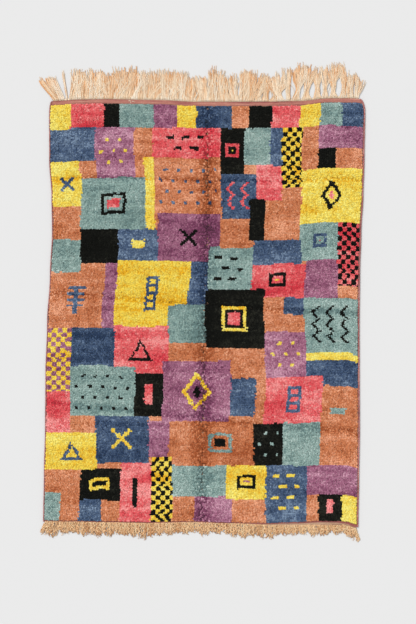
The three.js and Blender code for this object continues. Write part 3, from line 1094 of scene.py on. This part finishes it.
# A woven strip across the rug, left woven further down in places. Its ribs are the warps under a close
# weft that beats over and under, and its wefts run along it in paler and deeper lines.
def make_strip(name, low, high, low_down=STRAIGHT, high_down=STRAIGHT):
    weave = WEAVES[name]
    rng = np.random.default_rng(weave.seed)
    columns = weave.ribs * 2
    strip = add_grid(name, columns, weave.rows)
    flat = get_points(strip)
    column = np.rint((flat[:, 0] + 0.5) * columns)
    row = np.rint((flat[:, 1] + 0.5) * weave.rows)
    edge = (row == 0) | (row == weave.rows)
    over = np.where((column + row) % 2 == 0, weave.relief, -weave.relief)
    x = flat[:, 0] * FIELD["width"]
    low = low - read(low_down, "across", x, "down")
    high = high - read(high_down, "across", x, "down")
    y = low + (high - low) * (flat[:, 1] + 0.5) + drift(x, row * BEAT["row_step"], STRIP_WAVES)
    z = weave.top + np.where(edge, -weave.relief, over)
    z = z + rng.uniform(-BEAT["rough"], BEAT["rough"], len(flat))
    set_points(strip, laid(x, y, z))
    thicken(strip, weave.depth)
    x, y, z = get_points(strip).T / MM
    tone = weave.tone + drift(x, np.resize(row, len(x)), WEFT_LINES)
    tone = tone + rng.uniform(-BEAT["rough"], BEAT["rough"], len(x))
    # Painted shade: the weave is darker where it lies low.
    beat = (z - weave.top + weave.relief) / (2 * weave.relief)
    add_values(strip.data, tone=tone, rise=np.clip(beat * BEAT["span"] + BEAT["low"], 0, 1))
    return strip


def edge_ends(side):
    corner = read(LOWER_BAND, "across", side * HALF_WIDTH, "down")
    return -HALF_LENGTH - BAND["bottom"] - corner, HALF_LENGTH + BAND["top"]


# The overcast edge: turns of yarn laid side by side over the edge cord, each a slanted ring.
def make_overcast(name, side, width, node):
    bpy.ops.object.select_all(action="DESELECT")
    bpy.ops.mesh.primitive_torus_add(
        major_segments=8,
        minor_segments=3,
        major_radius=1,
        minor_radius=OVERCAST["yarn"],
        rotation=(math.pi / 2, 0, 0),
    )
    ring = name_active("overcast_turn")
    bpy.ops.object.transform_apply(location=True, rotation=True, scale=True)
    ring_x, ring_y, ring_z = get_points(ring).T
    low, high = edge_ends(side)
    count = OVERCAST["turns"]
    pitch = (high - low) / count
    rng = np.random.default_rng(OVERCAST["seed"] + side)
    stray = rng.uniform(-OVERCAST["stray"], OVERCAST["stray"], count)
    along = (low + (np.arange(count) + 0.5) * pitch + stray)[:, None]
    x = ring_x / ring_x.max() * width / 2 * rng.uniform(*OVERCAST_SIZES["wide"], (count, 1))
    z = ring_z / ring_z.max() * SELVEDGE["height"] / 2 * rng.uniform(*OVERCAST_SIZES["tall"], (count, 1))
    y = ring_y * pitch * OVERCAST["fill"] + x * OVERCAST["slant"]
    middle = side * (HALF_WIDTH + GAP + width / 2)
    z = np.maximum(SELVEDGE["height"] / 2 + z, OVERCAST["lowest"])
    uneven = rng.uniform(-OVERCAST_TONE_AND_SHADE["uneven"], OVERCAST_TONE_AND_SHADE["uneven"], (count, 1))
    tone = OVERCAST_TONE_AND_SHADE["middle"] + drift(along, along * 0, OVERCAST_TONES) + uneven
    # Painted shade on the lower side of each turn.
    rise = np.clip(OVERCAST_TONE_AND_SHADE["rise"] + OVERCAST_TONE_AND_SHADE["around"] * ring_z, 0, 1)
    edge = join_copies(name, Copies(ring, laid(middle + x, along + y, z), tone, rise))
    discard(ring)
    return finish_piece(edge, "mauve_overcast", node)


# The cord inside the overcast edge, which the turns of yarn hide all but the ends of.
def make_edge_cord(name, side, width):
    cord = add_tube(name, CORD["steps"], CORD["sides"])
    tube_x, tube_y, tube_z = get_points(cord).T
    low, high = edge_ends(side)
    x = side * (HALF_WIDTH + GAP + width / 2) + tube_x * (width / 2 - CORD["wrapped"])
    y = low + CORD["short"] + (high - low - 2 * CORD["short"]) * tube_y
    z = SELVEDGE["height"] / 2 + tube_z * (SELVEDGE["height"] / 2 - CORD["wrapped"])
    set_points(cord, laid(x, y, z))
    add_even_values(cord.data, CORD["tone"], CORD["tone"])
    return finish_piece(cord, "mauve_overcast")


# The fringes


# A layer of yarns: the path of each, and how thick, how twisted and how pale it is.
Yarns = namedtuple("Yarns", "paths radius turns tone")


# The tubes of a layer wound around its paths. Painted shade darkens them low down and on their undersides,
# less at the root, where their tone is paler too. The places around and along a tube are for its bake map.
def wind_yarns(model, yarns, top):
    count, stations = yarns.paths.shape[:2]
    model_x, share, model_z = get_points(model).T
    station = np.rint(share * (stations - 1)).astype(int)
    around = np.arctan2(model_z, model_x)
    next_turn = YARN["next_turn"] * np.arange(count)[:, None]
    angle = around + next_turn + yarns.turns * 2 * np.pi * share
    heading = np.gradient(yarns.paths, axis=1)
    heading[..., 2] = 0
    heading = heading / np.linalg.norm(heading, axis=2, keepdims=True)
    past = (np.arange(stations) / (stations - 1) - YARN["taper_from"]) / (1 - YARN["taper_from"])
    size = (yarns.radius * (1 - YARN["taper"] * smooth(past)))[:, station]
    x, y, z = np.moveaxis(yarns.paths[:, station], -1, 0)
    x = x + heading[:, station, 1] * np.cos(angle) * size
    y = y - heading[:, station, 0] * np.cos(angle) * size
    level = np.clip(z / top, 0, 1)
    z = np.maximum(z + YARN["flattened"] * np.sin(angle) * size, YARN["lowest"])
    wobble = np.sin(share * YARN_TONE["waves"] + yarns.turns * YARN_TONE["shift"])
    towards_tip = YARN_TONE["tip"] * (YARN_TONE["pale_to"] - share)
    tone = yarns.tone + YARN_TONE["wobble"] * wobble + towards_tip
    # Painted shade low down and on each yarn's underside, less of it at the root.
    rise = YARN_RISE["base"] + YARN_RISE["level"] * level + YARN_RISE["around"] * np.sin(angle)
    rise = np.clip(rise + YARN_RISE["root"] * (1 - smooth(share * 3)), 0, 1)
    return Copies(model, laid(x, y, z), tone, rise), around, share


# Yarns as one joined mesh: each a thin tube along its own path, twisted on its way. In the bake map each
# has a cell of its own.
def make_yarns(name, *layers):
    cells = math.ceil(math.sqrt(sum(len(layer.paths) for layer in layers)))
    top = max(layer.paths[..., 2].max() for layer in layers)
    groups, map_across, map_up, first = [], [], [], 0
    for layer in layers:
        count, stations = layer.paths.shape[:2]
        model = add_tube("yarn_model", stations - 1, YARN["sides"])
        copies, around, share = wind_yarns(model, layer, top)
        number = first + np.arange(count)[:, None]
        map_across.append((number % cells + 0.5 + around / (2 * np.pi) * CELL_FILLED) / cells)
        map_up.append((number // cells + 0.5 + (share - 0.5) * CELL_FILLED) / cells)
        groups.append(copies)
        first += count
    piece = join_copies(name, *groups)
    discard(*(group.model for group in groups))
    across = np.concatenate([part.ravel() for part in map_across])
    up = np.concatenate([part.ravel() for part in map_up])
    add_bake_map(piece.data, across, up)
    return piece


def fringe_start(band, towards):
    return towards * (HALF_LENGTH + 2 * GAP + band + HEADING["root"])


# Places across the rug for a number of warp ends, evenly but not exactly apart.
def warp_places(count, rng):
    share = (np.arange(count) + rng.uniform(0, 1, count)) / count
    return share * (FIELD["width"] - 2 * YARN_MARGIN) - HALF_WIDTH + YARN_MARGIN


# The warp ends that are left where the notch is, drawn in to its middle.
def leave_notch(start, rng):
    from_notch = start - NOTCH["across"]
    in_notch = abs(from_notch) < NOTCH["width"] / 2
    start = np.where(in_notch, NOTCH["across"] + NOTCH["drawn_in"] * from_notch, start)
    return start[~in_notch | (rng.random(len(start)) < NOTCH["kept"])]


# Which bunch each yarn is in, by its place across the rug, and that bunch's middle, as a column.
def find_bunches(across, bunch):
    edges = np.arange(-HALF_WIDTH - bunch.width, HALF_WIDTH + 2 * bunch.width, bunch.width)
    shifts = np.random.default_rng(bunch.seed).uniform(-bunch.uneven, bunch.uneven, len(edges))
    edges = edges + shifts * bunch.width
    number = np.searchsorted(edges, across)
    return number, ((edges[number - 1] + edges[number]) / 2)[:, None]


# Random values as a column, one to each yarn, or one to each bunch of them.
def by_yarn(rng, count, low, high):
    return rng.uniform(low, high, (count, 1))


def by_bunch(rng, bunch, low, high):
    return rng.uniform(low, high, (bunch.max() + 1, 1))[bunch]


# A column of the table of warp ends, at each yarn's start.
def read_warps(warps, start, column):
    return read(warps, "across", start, column)[:, None]


# How each large bunch gathers its yarns: the share of their reach that they lose, and how much each point
# of them is pinched and moved aside.
def gather_bunches(start, share, gather):
    bunch, middle = find_bunches(start, LARGE_BUNCH)
    rng = np.random.default_rng(GATHER["seed"])

    def each(low, high):
        return rng.uniform(low, high, (GATHER["bunches"], 1))[bunch]

    from_middle = start[:, None] - middle
    shorter = each(0, GATHER["shorter"]) * (from_middle / GATHER["half"]) ** 2
    pinch = np.sin(np.clip(share * each(*GATHER["narrowest"]), 0, 1) * np.pi)
    gather = gather * each(GATHER_CLOSE["least"], GATHER_CLOSE["most"])
    sway = each(-SWAY, SWAY) * np.sin(share * np.pi)
    sway = sway + each(-SWAY, SWAY) * share**2
    return shorter, pinch, gather * (sway - from_middle * GATHER_CLOSE["to_middle"] * pinch)


# How freely each yarn of the long fringe lies. Those at the corners are calm.
def freedom(start):
    at_left = start < NOTCH["across"] + LONG_CALM["left_edge"]
    at_right = start > HALF_WIDTH - LONG_CALM["right_edge"]
    calm = np.where(at_left, LONG_CALM["left"], np.where(at_right, LONG_CALM["right"], 1))
    return calm[:, None]


# One layer of the long, loose warp ends. They bunch and lean across each other as much as the layer
# says, and towards the right both layers gather in larger bunches with bare floor between.
def long_yarns(layer, seed):
    rng = np.random.default_rng(seed)
    share = np.linspace(0, 1, layer.points)
    start = leave_notch(warp_places(layer.count, rng), rng)
    count = len(start)
    across = start[:, None]
    small, small_middle = find_bunches(start, SMALL_BUNCH)
    free = freedom(start)
    gather = read_warps(TOP_WARPS, start, "gather")

    lean = rng.normal(0, layer.lean, (small.max() + 1, 1))[small] + rng.normal(0, layer.stray, (count, 1))
    lean = np.clip(lean, -LONG_LIE["farthest"], LONG_LIE["farthest"])
    lean = free * lean * (1 - LONG_LIE["gathered"] * gather)
    reach = read_warps(TOP_WARPS, start, "reach") * by_yarn(rng, count, layer.least, layer.most)
    longer = by_bunch(rng, small, LONG_REACH["less"], LONG_REACH["more"])
    reach = np.sqrt(np.maximum(reach**2 - lean**2, 0)) * (1 + free * longer)
    lean = lean + read_warps(TOP_WARPS, start, "lean")
    shorter, pinch, aside = gather_bunches(start, share, gather)
    reach = reach * (GATHER["longest"] - free * shorter)

    x = across + lean * (LONG_LIE["curved"] * smooth(share) + (1 - LONG_LIE["curved"]) * share)
    x = x + (small_middle - across) * layer.pinch * pinch * free + aside
    wave = by_yarn(rng, count, LONG_WAVE["least"], 1) * layer.wave * smooth(share * 3)
    wave = wave * (LONG_WAVE["calm"] + (1 - LONG_WAVE["calm"]) * free)
    waves = by_yarn(rng, count, LONG_WAVE["slow"], LONG_WAVE["fast"])
    x = x + wave * np.sin(share * waves + by_yarn(rng, count, 0, FULL_TURN))
    y = fringe_start(BAND["top"], 1) + reach * share
    up_from_root = smooth(share * 4)
    height = layer.low + (layer.high - layer.low) * by_bunch(rng, small, 0, 1) * up_from_root
    height = height + LONG_HEIGHT["uneven"] * by_yarn(rng, count, -1, 1) * up_from_root
    past = (share - LONG_HEIGHT["drop_from"]) / (1 - LONG_HEIGHT["drop_from"])
    z = height * (1 - LONG_HEIGHT["drop"] * smooth(past))
    z = z + LONG_HEIGHT["root"] * (1 - smooth(share * 5))
    tone = layer.tone + layer.uneven * by_bunch(rng, small, -1, 1)
    tone = tone + by_yarn(rng, count, -LONG_TONE, LONG_TONE)
    paths = np.stack([x, y, z], axis=-1)
    radius = by_yarn(rng, count, layer.thin, layer.thick)
    return Yarns(paths, radius, by_yarn(rng, count, *LONG_TWIST), tone)


# The bare warps where the upper band is worn through.
def bare_warps():
    share = np.linspace(0, 1, BARE_WARP["points"])
    paths = np.zeros((len(WORN_SPOT), len(share), 3))
    for number, (path, bare) in enumerate(zip(paths, WORN_SPOT)):
        sway = BARE_WARP["sway"] * np.sin(share * BARE_WARP["bends"] + number)
        path[:, 0] = bare.across + bare.length * share
        path[:, 1] = HALF_LENGTH + GAP + bare.up + sway
        path[:, 2] = BARE_WARP["low"] + BARE_WARP["arch"] * np.sin(share * np.pi)
    each = np.ones((len(WORN_SPOT), 1))
    return Yarns(paths, each * BARE_WARP["radius"], each * BARE_WARP["turns"], each * BARE_WARP["tone"])


def make_long_fringe():
    layers = [long_yarns(layer, LONG_SEED + number) for number, layer in enumerate(LONG_LAYERS)]
    piece = make_yarns("fringe_long", *layers, bare_warps())
    return finish_piece(piece, "cream_warp", "fringe_top")


# One layer of the short warp ends, which curl back on themselves into a thick, crimped edge with lobes.
def short_yarns(layer, seed):
    rng = np.random.default_rng(seed)
    share = np.linspace(0, 1, layer.points)
    count = layer.count
    start = warp_places(count, rng)
    across = start[:, None]
    lobe, middle = find_bunches(start, LOBE)
    lobes = np.random.default_rng(SHORT_LOBE["seed"])
    length = by_bunch(lobes, lobe, SHORT_LOBE["least"], SHORT_LOBE["most"])
    length = length * (1 - SHORT_LOBE["shorter"] * ((across - middle) / SHORT_LOBE["half"]) ** 2)
    reach = read_warps(BOTTOM_WARPS, start, "reach") * length
    reach = reach * by_yarn(rng, count, layer.least, layer.most)
    lean = read_warps(BOTTOM_WARPS, start, "lean") + rng.normal(0, layer.lean, (count, 1))
    down = read_warps(LOWER_HEADING, start, "down")

    curl = by_yarn(rng, count, SHORT_CURL["least"], SHORT_CURL["most"]) * layer.wave * smooth(share * 5)
    way = np.where(rng.random((count, 1)) < 0.5, -1, 1)
    turns = by_yarn(rng, count, SHORT_CURL["slow"], SHORT_CURL["fast"]) * layer.curl * way
    circle = share * turns + by_yarn(rng, count, 0, FULL_TURN)
    x = across + lean * share + curl * np.sin(circle)
    y = fringe_start(BAND["bottom"], -1) - down
    y = y - (reach - down - layer.wave) * share - curl * np.cos(circle)
    height = layer.low + (layer.high - layer.low) * by_yarn(rng, count, 0, 1) * smooth(share * 5)
    z = height * (1 - SHORT_CURL["drop"] * share) + SHORT_CURL["lift"] * np.sin(circle / 2)
    tone = layer.tone + SHORT_LOBE["tone"] * by_bunch(lobes, lobe, -1, 1)
    tone = tone + layer.uneven * by_yarn(rng, count, -1, 1)
    paths = np.stack([x, y, z], axis=-1)
    radius = by_yarn(rng, count, layer.thin, layer.thick)
    return Yarns(paths, radius, by_yarn(rng, count, *SHORT_TWIST), tone)


def make_short_fringe():
    layers = [short_yarns(layer, SHORT_SEED + number) for number, layer in enumerate(SHORT_LAYERS)]
    piece = make_yarns("fringe_short", *layers)
    return finish_piece(piece, "sand_warp", "fringe_bottom")


# Stage

# What the height of the view spans on the floor, where its middle is, and how far up the camera is.
VIEW = dict(height=3370, middle_x=5.5, middle_y=5.0, distance=6.55, sensor=36, farthest=100)
FLOOR = dict(radius=14, sides=96, below=0.0004, grey=0.629)
LIGHT = dict(around=0.814, sun=2.365, sun_width=24, turned_x=-32, turned_y=-38)


def make_camera():
    data = bpy.data.cameras.new("camera")
    data.sensor_width = VIEW["sensor"]
    data.lens = VIEW["sensor"] * VIEW["distance"] / (VIEW["height"] * MM)
    data.clip_end = VIEW["farthest"]
    camera = bpy.data.objects.new("camera", data)
    camera.location = (
        (VIEW["middle_x"] + SHIFT[0]) * MM,
        (VIEW["middle_y"] + SHIFT[1]) * MM,
        VIEW["distance"],
    )
    bpy.context.collection.objects.link(camera)
    bpy.context.scene.camera = camera


def make_floor():
    bpy.ops.object.select_all(action="DESELECT")
    bpy.ops.mesh.primitive_circle_add(
        vertices=FLOOR["sides"],
        radius=FLOOR["radius"],
        fill_type="NGON",
        location=(0, 0, -FLOOR["below"]),
    )
    floor = name_active("floor")
    material = bpy.data.materials.new("pale_floor")
    material.use_nodes = True
    shader = material.node_tree.nodes["Principled BSDF"]
    shader.inputs["Base Color"].default_value = (FLOOR["grey"], FLOOR["grey"], FLOOR["grey"], 1)
    shader.inputs["Roughness"].default_value = 1
    shader.inputs["Specular IOR Level"].default_value = 0
    floor.data.materials.append(material)


# Even light from all round, and soft daylight from one side for the pile's shadows.
def make_light():
    world = bpy.data.worlds.new("studio")
    world.use_nodes = True
    background = world.node_tree.nodes["Background"]
    background.inputs["Color"].default_value = (1, 1, 1, 1)
    background.inputs["Strength"].default_value = LIGHT["around"]
    bpy.context.scene.world = world
    data = bpy.data.lights.new("window", "SUN")
    data.energy = LIGHT["sun"]
    data.angle = math.radians(LIGHT["sun_width"])
    window = bpy.data.objects.new("window", data)
    window.rotation_euler = (math.radians(LIGHT["turned_x"]), math.radians(LIGHT["turned_y"]), 0)
    bpy.context.collection.objects.link(window)
    settings = bpy.context.scene.view_settings
    settings.view_transform = "Standard"
    settings.look = "None"


# The flat-woven band at each end, and the heading that its fringe leaves it by.
def make_ends():
    field_end = HALF_LENGTH + GAP
    top_end, bottom_end = field_end + BAND["top"], field_end + BAND["bottom"]
    band_top = make_strip("end_band_top", field_end, top_end)
    finish_piece(band_top, "rose_flatweave", "band_top")
    band_bottom = make_strip("end_band_bottom", -bottom_end, -field_end, low_down=LOWER_BAND)
    finish_piece(band_bottom, "rose_flatweave", "band_bottom")
    top_start, bottom_start = top_end + GAP, bottom_end + GAP
    head_top = make_strip("heading_long", top_start, top_start + HEADING["depth"])
    finish_piece(head_top, "cream_warp")
    head_bottom = make_strip(
        "heading_short",
        -bottom_start - HEADING["depth"],
        -bottom_start,
        low_down=LOWER_HEADING,
        high_down=LOWER_BAND,
    )
    finish_piece(head_bottom, "ground_weave")
    return band_top, band_bottom, head_top, head_bottom


def make_edges():
    left, right = SELVEDGE["width"], SELVEDGE["width"] + SELVEDGE["right_extra"]
    return [
        make_overcast("overcast_left", -1, left, "selvedge_left"),
        make_overcast("overcast_right", 1, right, "selvedge_right"),
        make_edge_cord("edge_cord_left", -1, left),
        make_edge_cord("edge_cord_right", 1, right),
    ]


def build():
    make_camera()
    make_floor()
    make_light()
    ground = make_ground()
    pile = make_pile()
    band_top, band_bottom, head_top, head_bottom = make_ends()
    edges = make_edges()
    fringes = [make_long_fringe(), make_short_fringe()]


build()
